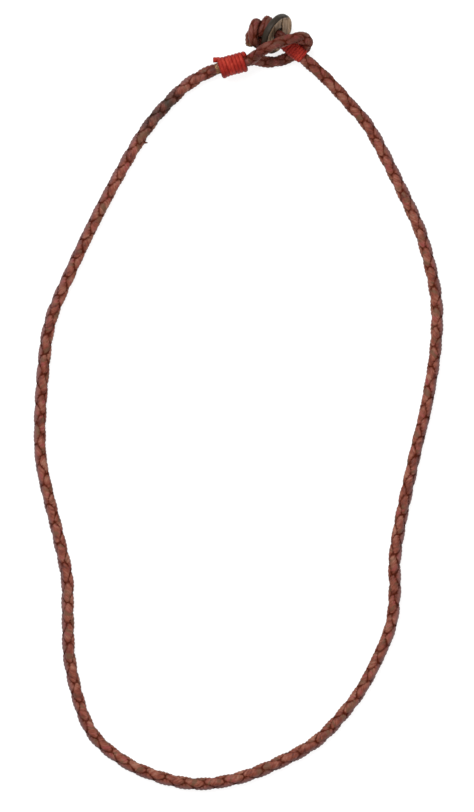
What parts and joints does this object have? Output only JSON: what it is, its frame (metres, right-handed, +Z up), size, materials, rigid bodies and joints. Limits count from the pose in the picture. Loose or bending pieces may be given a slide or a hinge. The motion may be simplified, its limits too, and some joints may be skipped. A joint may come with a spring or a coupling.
{
  "type": "braided leather necklace",
  "caption": "Round braided leather cord necklace, laid flat and closed by a cord loop over a horn button and stopper knot, with waxed thread whippings.",
  "frame": {"origin": "on the surface that the necklace lies on, under the middle of its box", "axes": "+Z up from the surface, +Y from the front of the neck towards the clasp, +X to the side of the bound button cord"},
  "size_m": [0.1066, 0.2021, 0.013],
  "materials": {
    "leather": "waxed red-brown braid with dark seams and stains",
    "horn": "worn streaky horn, dished face, cracked along the grain",
    "thread": "waxed red linen thread"
  },
  "bodies": {
    "root": {"neck_cord": "leather", "closing_loop": "leather", "knotted_end": "leather", "toggle_button": "horn", "loop_whipping": "thread", "button_whipping": "thread"}
  },
  "joints": []
}
